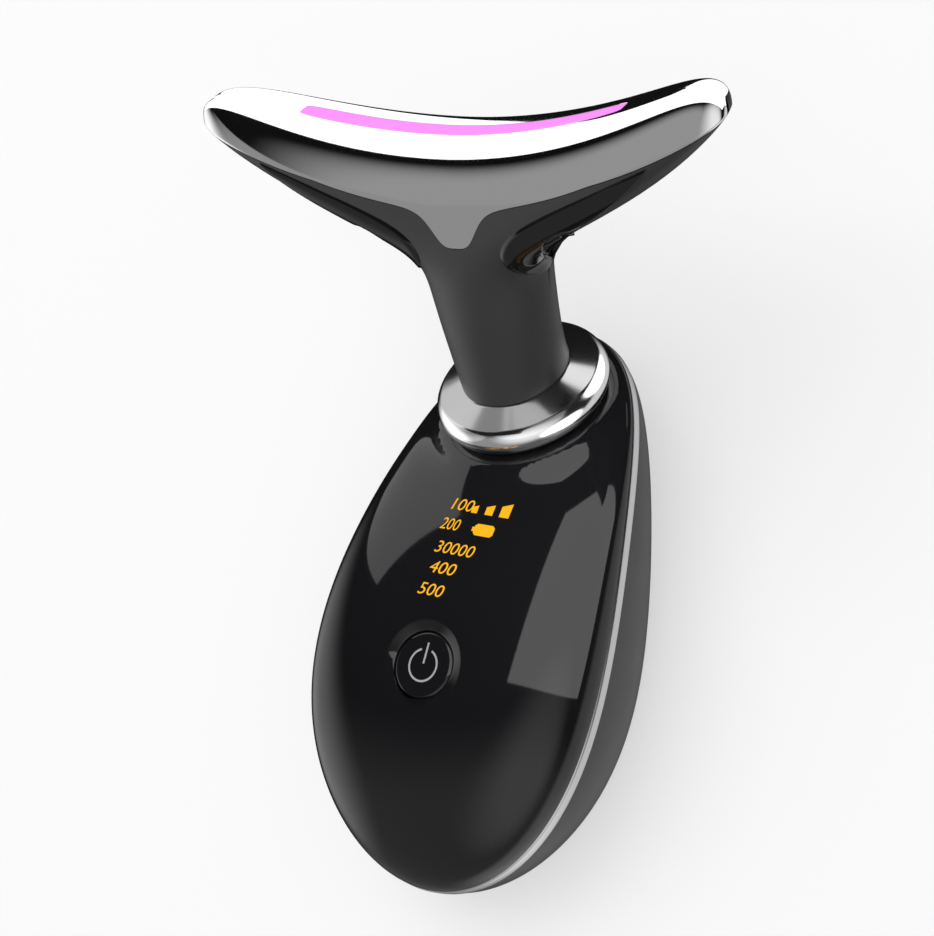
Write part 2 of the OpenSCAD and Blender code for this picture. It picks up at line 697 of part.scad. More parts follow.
module board_chips() {
  color("#1c1c1e") {
    for (p = [[-8, -25], [4.5, -25.5]]) translate([p.x, p.y, board_z + board_t + 0.02]) cube([5, 5, 1]);
    for (p = [[9, -4], [9, 2], [-12, -3]]) translate([p.x, p.y, board_z + board_t + 0.02]) cube([3, 1.6, 0.8]);
  }
}

module board_screws() {
  color("#b5b5b8") {
    for (p = board_places) translate([p.x, p.y, board_z - fit]) {
      translate([0, 0, -1]) cylinder(r = 1.6, h = 1);
      cylinder(r = small_screw_r, h = board_screw_l);
    }
    for (s = [-1, 1]) translate([s*charge_hole_x, charge_y0 + charge_hole, charge_z + board_t]) {
      translate([0, 0, fit]) cylinder(r = 1.4, h = 0.8);
      translate([0, 0, -3]) cylinder(r = small_screw_r, h = 3 + fit);
    }
  }
}

module tact_switch() {
  color("#26262a") translate([0, button_y, board_z + board_t + fit]) difference() {
    translate([-3, -3, 0]) cube([6, 6, switch_h]);
    translate([0, 0, switch_h - plunger_in - button_travel - 0.2])
      cylinder(r = plunger_r + plunger_gap, h = plunger_in + button_travel + 0.2 + cut);
  }
}

module switch_plunger() {
  color("#d8d8d4") translate([0, button_y, switch_top - plunger_in])
    cylinder(r = plunger_r, h = plunger_top - switch_top + plunger_in);
}

box_w = 15;
box_y0 = -5;
box_y1 = 13.2;
box_slope = 10;

module light_box() {
  base = board_z + board_t + fit;
  color("#101012") difference() {
    translate([-box_w/2, box_y0, base]) cube([box_w, box_y1 - box_y0, 10]);
    translate([-box_w, box_y0, front_top(box_y0) - wall - 0.6]) rotate([-box_slope, 0, 0])
      translate([0, -10, 0]) cube([2*box_w, 50, 12]);
    for (i = [0:4]) translate([-box_w/2 + 1, box_y0 + 1 + 3.3*i, base - cut]) cube([box_w - 2, 2.4, 14]);
  }
}

module display_leds() {
  color("#f0d9a0") for (i = [0:4], s = [-1, 1])
    translate([s*3.5 - 0.8, box_y0 + 1.8 + 3.3*i, board_z + board_t + 0.02]) cube([1.6, 0.8, 0.6]);
}

battery_z = wall + 0.6;

module battery() {
  color("#9fa6ad") translate([-battery_w/2, battery_y0, battery_z]) cube([battery_w, battery_l, battery_t]);
}

module battery_pad() {
  color("#2f2f31") translate([-battery_w/2 + 2, battery_y0 + 2, wall + 0.02])
    cube([battery_w - 4, battery_l - 4, battery_z - wall - 0.04]);
}

battery_end = battery_y0 + battery_l;

module battery_leads() {
  color("#a02020") for (s = [-1, 1])
    wire([[s*4, battery_end + 0.2, 8.6], [s*4, battery_end + 0.9, 8.8], [s*4, battery_end + 2, 10],
      [s*4, battery_end + 2.6, 12], [s*4, battery_end + 2.6, board_z - 2],
      [s*4, battery_end + 2.6, board_z - 0.05]], wire_d);
}

charge_y0 = usb_mouth + 3.8;
charge_z = usb_z - usb_h/2 - board_t - 0.05;
charge_w = 12.4;
charge_l = 8.4;
charge_hole = 6.6;
charge_hole_x = 4.4;

module charge_board() {
  color("#1d4d33") difference() {
    translate([-charge_w/2, charge_y0, charge_z]) cube([charge_w, charge_l, board_t]);
    for (s = [-1, 1]) translate([s*charge_hole_x, charge_y0 + charge_hole, charge_z - cut])
      cylinder(r = small_screw_r + 0.15, h = board_t + 2*cut);
  }
}

module usb_port() {
  color("#b9babd") translate([0, usb_mouth, usb_z]) difference() {
    slot_shape(usb_w, usb_h, usb_l);
    translate([0, -cut, 0]) slot_shape(usb_w - 2*usb_wall, usb_h - 2*usb_wall, usb_l - 0.6 + cut);
  }
}

module usb_tongue() {
  color("#111113") translate([0, usb_mouth, usb_z]) {
    translate([-(usb_w - 2.2)/2, 1, -0.35]) cube([usb_w - 2.2, usb_l - 1.62, 0.7]);
  }
}

module band_contact() {
  reach = (body_mid_w/2 - band_w)*egg_shape(0);
  color("#c9a24a") translate([0, 0, board_z + board_t + 0.02]) {
    translate([12.4, -1.5, 0]) cube([reach - 12.4 - 0.5, 3, 0.25]);
    translate([reach - 0.75, -1.5, -0.6]) cube([0.25, 3, 0.85]);
  }
}

front_cover();
trim_band();
rear_cover();
power_button();
power_icon();
neck_collar();
collar_seal();
neck_retainer();
neck_screws();
head_shell();
side_inlays();
head_electrode();
led_lens();
led_board();
head_leds();
head_carrier();
heater_film();
temperature_sensor();
motor_sleeve();
motor_can();
motor_rotor();
head_wires();
main_board();
board_chips();
board_screws();
tact_switch();
switch_plunger();
light_box();
display_leds();
battery();
battery_pad();
battery_leads();
charge_board();
usb_port();
usb_tongue();
band_contact();
case_screws();
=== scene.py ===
from math import atan2, cos, hypot, pi, radians, sin, sqrt, tan

import bmesh
import bpy
from mathutils import Matrix, Vector


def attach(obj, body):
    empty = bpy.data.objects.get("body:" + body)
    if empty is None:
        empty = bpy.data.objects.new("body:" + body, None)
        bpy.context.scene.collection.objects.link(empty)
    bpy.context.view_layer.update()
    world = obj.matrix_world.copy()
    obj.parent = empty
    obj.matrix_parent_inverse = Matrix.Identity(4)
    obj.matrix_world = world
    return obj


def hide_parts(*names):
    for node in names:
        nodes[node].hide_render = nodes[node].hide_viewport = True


# The facial toning device on a pale floor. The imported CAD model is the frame, and its outer
# shells are drawn again as dense smooth meshes from the same formulas. Shapes are written
# in millimetres and made in metres. X runs across the handle, Y towards the head, Z up.

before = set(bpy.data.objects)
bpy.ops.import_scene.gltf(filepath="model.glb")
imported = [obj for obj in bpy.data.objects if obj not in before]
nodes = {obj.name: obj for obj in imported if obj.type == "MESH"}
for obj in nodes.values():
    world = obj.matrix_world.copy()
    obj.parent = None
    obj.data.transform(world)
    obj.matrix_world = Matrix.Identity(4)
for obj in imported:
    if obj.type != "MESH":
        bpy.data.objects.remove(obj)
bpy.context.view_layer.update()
MM = 0.001

# ---- camera: the photograph's place and lens, found from the handle's outline ----
# It stands above the handle on its right and looks down to the left. The small roll brings
# the head's outline on to the photograph's.
photo_width_px = 934
focal_length_px = 1588.8
camera_place = Vector((124.76, -23.40, 206.14))
camera_ahead = Vector((-0.56487, 0.17483, -0.80645)).normalized()
camera_top = Vector((-0.11672, 0.95055, 0.28782))
camera_roll = radians(0.3)
camera_data = bpy.data.cameras.new("camera")
camera_data.sensor_fit = "HORIZONTAL"
camera_data.sensor_width = 36
camera_data.lens = camera_data.sensor_width*focal_length_px/photo_width_px
camera_data.shift_y = 0.001
camera_data.clip_start = 0.01
camera_data.clip_end = 20
camera = bpy.data.objects.new("camera", camera_data)
bpy.context.scene.collection.objects.link(camera)
camera_right = camera_ahead.cross(camera_top).normalized()
camera_up = camera_right.cross(camera_ahead)
facing = Matrix((camera_right, camera_up, -camera_ahead)).transposed().to_4x4()
rolled = facing @ Matrix.Rotation(camera_roll, 4, "Z")
camera.matrix_world = Matrix.Translation(camera_place*MM) @ rolled
bpy.context.scene.camera = camera
bpy.context.scene.view_settings.view_transform = "Standard"


# ---- front cover: glossy black moulding, with the button's well and the collar's seat ----
# The front half of the egg. Its skin is drawn in rings round the button out to the seam, so
# that the well is round, and it rises in a cone to the seat of the collar.
class Socket:
    """An output of a shader node that takes part in sums."""

    def __init__(self, tree, out):
        self.tree = tree
        self.out = out

    def node(self, kind, *inputs, out=0, sockets=None, **settings):
        """A new node with these settings. Values or links go into its first sockets, or into
        the sockets of those names or places."""
        made = self.tree.nodes.new(kind)
        for name, value in settings.items():
            setattr(made, name, value)
        for place, value in [*enumerate(inputs), *(sockets or {}).items()]:
            if isinstance(value, Socket):
                self.tree.links.new(value.out, made.inputs[place])
            elif value is not None:
                made.inputs[place].default_value = value
        return Socket(self.tree, made.outputs[out])

    def maths(self, operation, *inputs):
        return self.node("ShaderNodeMath", *inputs, operation=operation)

    def __add__(self, other):
        return self.maths("ADD", self, other)

    __radd__ = __add__

    def __sub__(self, other):
        return self.maths("SUBTRACT", self, other)

    def __rsub__(self, other):
        return self.maths("SUBTRACT", other, self)

    def __mul__(self, other):
        return self.maths("MULTIPLY", self, other)

    __rmul__ = __mul__

    def step(self, low, high):
        """0 below low, 1 above high and smooth in between."""
        return self.node("ShaderNodeMapRange", self, low, high, interpolation_type="SMOOTHSTEP")


class Material:
    """A Principled material with its object coordinates and a few patterns."""

    def __init__(self, name, colour, roughness, metallic=0.0, **constants):
        self.made = bpy.data.materials.new(name)
        self.made.use_nodes = True
        self.tree = self.made.node_tree
        self.shader = self.tree.nodes["Principled BSDF"]
        self.colour = colour
        self.shader.inputs["Base Color"].default_value = (*colour, 1)
        self.shader.inputs["Roughness"].default_value = roughness
        self.shader.inputs["Metallic"].default_value = metallic
        for key, value in constants.items():
            self.shader.inputs[key.replace("_", " ")].default_value = value
        coordinates = self.tree.nodes.new("ShaderNodeTexCoord")
        self.place = Socket(self.tree, coordinates.outputs["Object"])

    def noise(self, size_mm, detail=2.0, stretch=(1, 1, 1)):
        """Noise from 0 to 1 with features of about that size."""
        scaled = self.place.node("ShaderNodeVectorMath", self.place, stretch, operation="MULTIPLY")
        return self.place.node("ShaderNodeTexNoise", scaled, None, 1/(size_mm*MM), detail)

    def link(self, key, value):
        """Leads a pattern into a socket of the material."""
        self.tree.links.new(value.out, self.shader.inputs[key])
        return self

    def bump(self, height, depth_mm, strength=1.0):
        """height is 0 to 1 and stands for that depth."""
        sockets = {"Strength": strength, "Distance": depth_mm*MM, "Height": height}
        return self.link("Normal", self.place.node("ShaderNodeBump", sockets=sockets))

    def shade(self, amount, pattern):
        """Varies the base colour by that share, with the pattern from 0 to 1."""
        dark = tuple(c*(1 - amount) for c in self.colour)
        light = tuple(min(1, c*(1 + amount)) for c in self.colour)
        sockets = {0: pattern, 6: (*dark, 1), 7: (*light, 1)}
        mixed = self.place.node("ShaderNodeMix", data_type="RGBA", out=2, sockets=sockets)
        return self.link("Base Color", mixed)


def finish_mesh(name, made, material, smooth_angle=35):
    """Turns a bmesh in millimetres into an object at the origin, in metres."""
    bmesh.ops.recalc_face_normals(made, faces=made.faces)
    bmesh.ops.scale(made, vec=(MM, MM, MM), verts=made.verts)
    mesh = bpy.data.meshes.new(name)
    made.to_mesh(mesh)
    made.free()
    mesh.polygons.foreach_set("use_smooth", [True]*len(mesh.polygons))
    mesh.set_sharp_from_angle(angle=radians(smooth_angle))
    mesh.materials.append(material.made)
    obj = bpy.data.objects.new(name, mesh)
    bpy.context.scene.collection.objects.link(obj)
    return obj


def add_loft(made, rings, closed=False, first=None, final=None):
    """Quads between rings. closed joins the last ring to the first, first and final are poles."""
    verts = [[made.verts.new(p) for p in ring] for ring in rings]
    n = len(rings[0])
    pairs = list(zip(verts, verts[1:])) + ([(verts[-1], verts[0])] if closed else [])
    for a, b in pairs:
        for j in range(n):
            k = (j + 1) % n
            made.faces.new((a[j], a[k], b[k], b[j]))
    for point, ring in ((first, verts[0]), (final, verts[-1])):
        if point is not None:
            tip = made.verts.new(point)
            for j in range(n):
                made.faces.new((tip, ring[j], ring[(j + 1) % n]))


def place(obj, slot, *replaced, body="handle"):
    """obj rides on a body and stands for these CAD nodes, which it hides. The slot is not used."""
    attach(obj, body)
    if replaced:
        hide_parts(*replaced)
    return obj


body_mid_w = 45.4
body_a = 42.0
seam_h = 18.4
seam_bow = 6.4
wall = 1.8
band_t = 2.2
band_w = 2.2
button_y = -12.4
well_r = 4.85
well_rim = 1.4
neck_lean = radians(28)
neck_up = Vector((0, sin(neck_lean), cos(neck_lean)))
neck_front = Vector((0, -cos(neck_lean), sin(neck_lean)))
collar_foot = Vector((0, 29.1, 17.7))
collar_h = 6.2


def soft_max(a, b, k):
    """The larger of two heights, with the corner between them rounded over a width k."""
    d = a - b
    return a if d > k else b if d < -k else b + (d + k)**2/(4*k)


def egg_shape(u):
    """Share of the full width, from the tail at u = -1 to the head at u = 1."""
    return 1 - 0.2*u + 0.15*u*u + 0.16*u**3


def egg_point(t, inset=0.0):
    """A place on the handle's outline by its angle, moved in by an inset."""
    u = -cos(t)
    return (body_mid_w/2 - inset)*sin(t)*egg_shape(u), (body_a - inset)*u


def seam_z(y):
    """Height of the seam between the covers, which bows down towards both ends."""
    return seam_h - seam_bow*(y/body_a)**2


def front_height(y):
    """Height of the front cover's middle line over the seam."""
    u = y/body_a
    return soft_max(7.4*(1 - 0.6*u - 0.6*u*u), 2.2, 0.8)


def egg_share(x, y):
    """0 at the middle of the egg and 1 on its outline."""
    low, high = max(abs(y)/body_a, 1e-6), 1.6
    for _ in range(34):
        r = (low + high)/2
        u = y/(body_a*r)
        if abs(x)/r > body_mid_w/2*sqrt(max(0, 1 - u*u))*egg_shape(u):
            low = r
        else:
            high = r
    return high


def seat_rise(x, y):
    """Height of the collar's seat and its conical foot over a place on the plan."""
    low, high = -20.0, 60.0
    for _ in range(30):
        z = (low + high)/2
        p = Vector((x, y, z)) - collar_foot
        along = p.dot(neck_up)
        away = sqrt(x*x + p.dot(neck_front)**2)
        if along > 0 or away + 1.55*along > 13.6:
            high = z
        else:
            low = z
    return high


def front_z(x, y):
    """Height of the front cover's skin: its dome, and the rise to the collar."""
    r = min(1.0, egg_share(x, y))
    dome = seam_z(y) + front_height(y)*(1 - r**4.35)**(1/2.31)
    if y > 8 and r < 0.985:
        return soft_max(dome, seat_rise(x, y), 0.9)
    return dome


def reach(angle):
    """Distance from the button's axis to the egg's outline at that angle."""
    low, high = 5.0, 70.0
    for _ in range(34):
        d = (low + high)/2
        if egg_share(d*cos(angle), button_y + d*sin(angle)) < 1:
            low = d
        else:
            high = d
    return low


turns = [2*pi*k/288 for k in range(288)]
reaches = [reach(a) for a in turns]
rim_r = well_r + well_rim
skin_r = rim_r + 0.12
lining_r = well_r + 0.6
button_z = front_z(0, button_y)


def round_button(d, angle):
    """A place on the plan by its distance and angle from the button's axis."""
    return d*cos(angle), button_y + d*sin(angle)


cover_rings = []
for k in range(0, 97):
    share = 1 - (1 - k/96)**2.0
    places = [round_button(skin_r + (far - skin_r)*share, a) for a, far in zip(turns, reaches)]
    cover_rings.append([(x, y, front_z(x, y)) for x, y in places])
rim_heights = [front_z(*round_button(skin_r, a)) for a in turns]
# The well's wall: radius, share of the rim's height over its low point, and a fixed drop.
well_low = button_z - 0.5
well_profile = [(rim_r + 0.05, 1.0, -0.02), (rim_r - 0.03, 0.955, -0.02), (rim_r - 0.3, 0.78, -0.02)]
well_profile += [(well_r + 0.3, 0.2, 0), (well_r + 0.1, 0.055, 0), (well_r + 0.02, -0.03, 0)]
well_profile += [(well_r, -0.16, 0), (well_r, -4.6, 0)]
well_rings = []
for d, share, drop in well_profile:
    well_rings.append([
        (*round_button(d, a), well_low + share*(top - well_low) + drop)
        for a, top in zip(turns, rim_heights)])
inner_rings = []
for k in range(0, 21):
    share = 1 - (1 - k/20)**1.6
    places = [round_button(lining_r + (far - wall - lining_r)*share, a) for a, far in zip(turns, reaches)]
    inner_rings.append([(x, y, max(seam_z(y), front_z(x, y) - wall)) for x, y in places])
made = bmesh.new()
add_loft(made, well_rings[::-1] + cover_rings + inner_rings[::-1], closed=True)
gloss_black = Material("gloss_black_moulding", (0.004, 0.004, 0.0045), 0.055, Specular_IOR_Level=0.5)
haze = gloss_black.noise(9, 3)
gloss_black.link("Roughness", haze*0.02 + 0.045).shade(0.15, gloss_black.noise(25))
gloss_black.bump(gloss_black.noise(14, 1), 0.006)
front_cover = place(finish_mesh("front_cover_skin", made, gloss_black), "gloss_black", "front_cover")

# ---- trim band: satin silver ring between the covers, also the hand electrode ----
# Bright anodised metal with rounded edges, which follows the seam's curve. Its inner edge
# is pinched between the two covers.

# Places on the band's section: out of the egg's outline, and over the seam.
band_profile = [(-band_w, -0.05), (-0.25, -0.05), (0.02, -0.1), (0.14, -0.22), (0.19, -0.45), (0.2, -0.8)]
band_profile += [(0.2, -1.4), (0.19, -1.75), (0.14, -1.98), (0.02, -2.1), (-0.25, -2.15), (-band_w, -2.15)]
egg_turns = [2*pi*k/360 for k in range(360)]
band_rings = []
for out, rise in band_profile:
    band_rings.append([(x, y, seam_z(y) + rise) for x, y in (egg_point(t, -out) for t in egg_turns)])
made = bmesh.new()
add_loft(made, band_rings, closed=True)
satin = Material("satin_band_metal", (0.72, 0.72, 0.73), 0.33, 1.0)
satin.link("Roughness", satin.noise(3, 4)*0.1 + 0.28).bump(satin.noise(0.12, 2, (0.15, 0.15, 1)), 0.002)
place(finish_mesh("trim_band_ring", made, satin, 50), "satin_band", "trim_band")

# ---- rear cover: matte dark grey half, with the screws' wells and the charging opening ----
# Fine-grained moulded plastic with a flat to rest on. The wells and the opening are cut by
# Boolean modifiers.


def rear_drop(y):
    """Depth of the rear cover's middle line under the band."""
    u = y/body_a
    return 20.5*(1 - 0.3*u - 0.6*u*u)


def rear_point(t, r, inset=0.0):
    """A place on the rear cover by its angle and its share of the way out to the band."""
    x, y = egg_point(t, inset)
    x, y = x*r, y*r
    cap = max(0, 1 - r**4.5)**(1/2.23)
    return x, y, soft_max(seam_z(y) - band_t - (rear_drop(y) - inset)*cap, inset, 0.8)


outer = [[rear_point(t, 1 - (1 - k/72)**2.0) for t in egg_turns] for k in range(4, 73)]
inner = [[rear_point(t, 1 - (1 - k/20)**1.8, wall) for t in egg_turns] for k in range(2, 21)]
made = bmesh.new()
add_loft(made, inner + outer[::-1], first=rear_point(0, 0, wall), final=rear_point(0, 0))
matte_rear = Material("matte_rear_moulding", (0.03, 0.03, 0.031), 0.42)
grain = matte_rear.noise(0.22, 3)
matte_rear.bump(grain, 0.012, 0.6).link("Roughness", matte_rear.noise(6, 2)*0.1 + 0.36).shade(0.2, grain)
rear = finish_mesh("rear_cover_skin", made, matte_rear)


def cutter(name, made):
    """A hidden shape that a Boolean modifier cuts from a piece."""
    obj = finish_mesh(name, made, matte_rear)
    obj.hide_render = True
    obj.hide_viewport = True
    return obj


def cut(obj, tool):
    """A Boolean modifier that takes the tool's shape out of a piece."""
    change = obj.modifiers.new("cut", "BOOLEAN")
    change.operation = "DIFFERENCE"
    change.solver = "EXACT"
    change.object = tool


case_places = [(side*x, y) for x, y in ((15.6, -12), (12.8, 13)) for side in (-1, 1)]
head_well = (2.2, 9.0)
screw_hole = (1.1, 14.0)
below = 3
wells = bmesh.new()
for x, y in case_places:
    for r, top in (head_well, screw_hole):
        bmesh.ops.create_cone(wells, cap_ends=True, segments=48, radius1=r, radius2=r, depth=top + below,
                              matrix=Matrix.Translation((x, y, (top - below)/2)))
cut(rear, cutter("well_cutter", wells))
usb_z = 8.2
usb_w = 8.9
usb_h = 3.2


def slot_ring(w, h, y, z, n=48):
    """A flat ring with rounded sides, across X and Z."""
    r = h/2
    steps = [2*pi*(k + 0.5)/n for k in range(n)]
    return [((w/2 - r)*(1 if cos(a) > 0 else -1) + r*cos(a), y, z + r*sin(a)) for a in steps]


usb_gap = 0.3
outside, inside = -body_a - 2, -body_a + 5
opening = bmesh.new()
add_loft(opening, [slot_ring(usb_w + usb_gap, usb_h + usb_gap, y, usb_z) for y in (outside, inside)],
         first=(0, outside, usb_z), final=(0, inside, usb_z))
cut(rear, cutter("opening_cutter", opening))
place(rear, "matte_rear", "rear_cover")

# ---- power button: a glossy black cap with a softened edge, on its flange ----
# Turned from one profile. It rides on the button's body and slides into the well.
button_top = button_z - 0.4
cap_r = 4.75
edge_r = 0.6
flange_r = cap_r + 1.2
flange_top, flange_foot = button_z - 2.95, button_z - 3.72
edge_turns = [pi*k/16 for k in range(9)]
cap_profile = [(0, button_top), (3.9, button_top)]
cap_profile += [(cap_r - edge_r + edge_r*sin(a), button_top - edge_r + edge_r*cos(a)) for a in edge_turns]
cap_profile += [(cap_r, flange_top), (flange_r, flange_top), (flange_r, flange_foot), (0, flange_foot)]


def turned(name, profile, material, centre=(0, 0), steps=144, matrix=None):
    """A turned piece from points (r, z), closed on its axis or as a ring."""
    made = bmesh.new()
    on_axis = profile[0][0] == 0
    verts = [made.verts.new((r, 0, z)) for r, z in profile]
    edges = [made.edges.new(pair) for pair in zip(verts, verts[1:])]
    if not on_axis:
        edges.append(made.edges.new((verts[-1], verts[0])))
    bmesh.ops.spin(made, geom=verts + edges, cent=(0, 0, 0), axis=(0, 0, 1), angle=2*pi, steps=steps,
                   use_merge=True)
    bmesh.ops.remove_doubles(made, verts=made.verts, dist=0.0005)
    bmesh.ops.transform(made, matrix=matrix or Matrix.Translation((*centre, 0)), verts=made.verts)
    return finish_mesh(name, made, material)


button = turned("power_button_cap", cap_profile, gloss_black, (0, button_y))
place(button, "gloss_black", "power_button", body="button")

# ---- power symbol: a grey ring with a gap and a bar, set in the cap ----
# A thin second moulding in grey, level with the cap and fixed in it, so it moves with the
# button. Both strokes have the same section, with softened edges.
icon_r = 2.24
icon_line = 0.34
icon_gap = 0.9
icon_foot = button_top - 0.185
gap_turn = atan2(icon_gap, icon_r)
arcs = [pi/2 + gap_turn + (2*pi - 2*gap_turn)*k/72 for k in range(73)]
stroke = [(-0.5, 0.0), (-0.5, 0.17), (-0.38, 0.2), (0.38, 0.2), (0.5, 0.17), (0.5, 0.0)]
bar_ends = (0.2, icon_r + 0.9)
ring_rows = []
for a in arcs:
    radii = [(icon_r + icon_line*s, h) for s, h in stroke]
    ring_rows.append([(r*cos(a), button_y + r*sin(a), icon_foot + h) for r, h in radii])
bar_rows = [[(icon_line*s, button_y + y, icon_foot + h) for s, h in stroke] for y in bar_ends]
made = bmesh.new()
for rows in (ring_rows, bar_rows):
    start = len(made.verts)
    add_loft(made, rows)
    made.verts.ensure_lookup_table()
    made.faces.new(made.verts[start:start + len(stroke)])
    made.faces.new(made.verts[-len(stroke):])
icon_grey = Material("icon_grey_inlay", (0.27, 0.27, 0.275), 0.4)
icon_grey.shade(0.06, icon_grey.noise(0.4)).bump(icon_grey.noise(0.1), 0.003)
place(finish_mesh("power_icon_inlay", made, icon_grey), "icon_grey", "power_icon", body="button")

# ---- collar: a polished flared ring at the foot of the neck ----
# Turned and chrome plated, with a rounded foot that stands on the cover's seat.
at_collar = Matrix.Translation(collar_foot) @ Matrix.Rotation(-neck_lean, 4, "X")
foot_r = 2.6
collar_r = 13.0
neck_r = 8.1
bore_r = 7.05
fit = 0.05
slope = atan2(collar_r - neck_r, collar_h)
foot_turns = [radians(-80) + (radians(170) - slope)*k/24 for k in range(25)]
collar_profile = [(bore_r, fit), (collar_r - foot_r, fit)]
collar_profile += [(collar_r - foot_r + foot_r*cos(a), foot_r + fit + foot_r*sin(a)) for a in foot_turns]
cone_foot = Vector(collar_profile[-1])
cone_top = Vector((neck_r + 0.02, collar_h - fit))
collar_profile += [tuple(cone_foot.lerp(cone_top, k/12)) for k in range(1, 13)]
collar_profile += [(bore_r, collar_h - fit)]
chrome = Material("collar_chrome", (0.86, 0.86, 0.87), 0.13, 1.0)
chrome.link("Roughness", chrome.noise(5, 3)*0.03 + 0.12).bump(chrome.noise(6, 1), 0.003)
collar = turned("neck_collar_ring", collar_profile, chrome, steps=216, matrix=at_collar)
place(collar, "polished_collar", "neck_collar")

# ---- neck and wings: one matte dark moulding, bent back and up at its tips ----
# A straight form of superellipse sections, bent as a whole. It ends in a step where the
# contact plate lands on it.
head_w = 82.6
face_h = 33.9
head_depth = 14.8
tip_lift = 10.6
tip_sweep = 2.6
head_set = 10.3
strip_l = 51.6
strip_w = 3.2
strip_f = 0.9
tongue_l = 4.9
tip_x = head_w/2
wing_start = 10.3
rim_w = 28.9
rim_power = 3.0
neck_origin = collar_foot + collar_h*neck_up


def smooth_step(q):
    """0 up to q = 0, 1 from q = 1 on, and smooth in between."""
    q = min(1, max(0, q))
    return q*q*(3 - 2*q)


def bent(x, w, f):
    """From the straight form (across, along the neck, to the front) to its place on the device."""
    q = (abs(x)/tip_x)**1.9
    g = smooth_step((w - 6)/22)
    return (neck_origin + Vector((x, 0, 0)) + (w + tip_lift*q*g)*neck_up
            + (f - head_set*max(0, w/face_h)**1.5 + tip_sweep*q*g)*neck_front)


def spread(w):
    """How far the neck has opened into the wings at a height w, from 0 to 1."""
    q = min(1, max(0, (w - wing_start)/(rim_w - wing_start)))
    return q**5/(q**5 + 0.69*(1 - q)**2/(1.04 - q)**1.25)


def head_half(w, inset):
    """Half the width at a height w."""
    neck_half = neck_r + 0.1*w
    return neck_half + (tip_x - neck_half)*spread(w - inset) - inset


def head_power(w, inset):
    """Squareness of the section: 2 is an ellipse."""
    return 2 + (rim_power - 2)*spread(w - inset)


def depth_at(x, w, inset):
    """Half the depth, from the round neck to the flatter and thinner wings."""
    return head_depth/2 + (2*neck_r - head_depth)/2*max(0, 1 - w/8)**2 - 1.9*(x/tip_x)**2 - inset


def round_off(share, power):
    return max(0, 1 - min(1, abs(share))**power)**(1/power)


def ring_share(t):
    """Place across the head by the angle t, with the points drawn together at the tips."""
    return cos(t)*(1 - 0.55*sin(t)**2)


def side_point(t, w, inset):
    """A point of the section at a height w, on the straight form."""
    share = ring_share(t)
    x = head_half(w, inset)*share
    half = depth_at(x, w, inset)*round_off(share, head_power(w, inset))
    return x, w, -half if sin(t) > 0 else half


def face_w(f, inset):
    """Height of the contact face, which leans and is slightly crowned."""
    return face_h + 0.17*f - 0.01*f*f - inset


def slot_point(t, grow=0.0):
    """A point of the light strip's outline on the face."""
    share = ring_share(t)
    side = (strip_w/2 + grow)*round_off(share, 8)
    return (strip_l/2 + grow)*share, strip_f + (-side if sin(t) > 0 else side)


def crown_point(t, phi, inset):
    """A point between the widest ring (phi 1) and the strip's slot (phi 0)."""
    rim = side_point(t, rim_w, inset)
    slot = slot_point(t)
    x = phi*rim[0] + (1 - phi)*slot[0]
    f = phi*rim[2] + (1 - phi)*slot[1]
    half_x = head_half(rim_w, inset)
    half_f = max(0.01, depth_at(x, rim_w, inset)*round_off(x/half_x, rim_power))
    across = max(0, 1 - min(1, abs(f)/half_f)**(8 if f > 0 else 5))**0.5
    along = max(0, 1 - min(1, abs(x)/half_x)**10)**0.5
    rise = 0 if phi >= 1 else across*along
    return x, rim_w + (face_w(f, inset) - rim_w)*rise, f


def head_point(t, v, inset):
    """A point by its station v: 0 at the collar, 1 at the widest ring, 2 at the slot."""
    p = side_point(t, rim_w*v, inset) if v <= 1 else crown_point(t, 1 - (v - 1)**2, inset)
    return bent(*p)


def plate_edge(x):
    """Height of the contact plate's lower edge on the front, with its tongue."""
    return 27.8 + 2.8*(x/tip_x)**2 - tongue_l/(1 + (x/3.8)**4)


def plate_station(t):
    """Station of the plate's edge: on the front below the lip, on the back up on the face."""
    if t > pi + 0.001:
        w = 27.0
        for _ in range(12):
            w = min(rim_w - 0.3, plate_edge(head_half(w, 0)*ring_share(t)))
        return w/rim_w
    half = abs(side_point(t, rim_w, 0)[2])
    phi = min(0.97, (4.8 - strip_w/2)/max(0.5, half - strip_w/2))
    return 1 + sqrt(1 - max(0, phi))


head_turns = [2*pi*k/384 for k in range(384)]
stations = [plate_station(t) for t in head_turns]
shell_edges = [station - 0.004 for station in stations]


def shell_ring(share, inset):
    """A ring of the shell at that share of the way from the collar to the plate's edge."""
    return [head_point(t, share*edge, inset) for t, edge in zip(head_turns, shell_edges)]


shell_rings = [shell_ring(k/70, 0) for k in range(71)]
shell_rings += [shell_ring(share, 1.5) for share in (1, 0.9, 0.7, 0.5, 0.25, 0)]
made = bmesh.new()
add_loft(made, shell_rings, closed=True)
matte_neck = Material("matte_neck_moulding", (0.017, 0.017, 0.018), 0.46)
grain = matte_neck.noise(0.16, 3)
matte_neck.bump(grain, 0.008, 0.5).link("Roughness", matte_neck.noise(5, 2)*0.08 + 0.42).shade(0.2, grain)
shell = place(finish_mesh("head_shell_moulding", made, matte_neck), "matte_neck", "head_shell")

# ---- contact plate: the chrome face of the head, with a tongue down the neck ----
# A thin plated shell with rolled edges, drawn from the shell's edge up to the strip's slot.
# It is pressed on the neck's moulding and lands on the step at its edge.
plate_t = 1.2


def plate_ring(share, inset):
    """A ring of the plate at that share of the way from its edge to the slot."""
    return [head_point(t, s + (2 - s)*share, inset) for t, s in zip(head_turns, stations)]


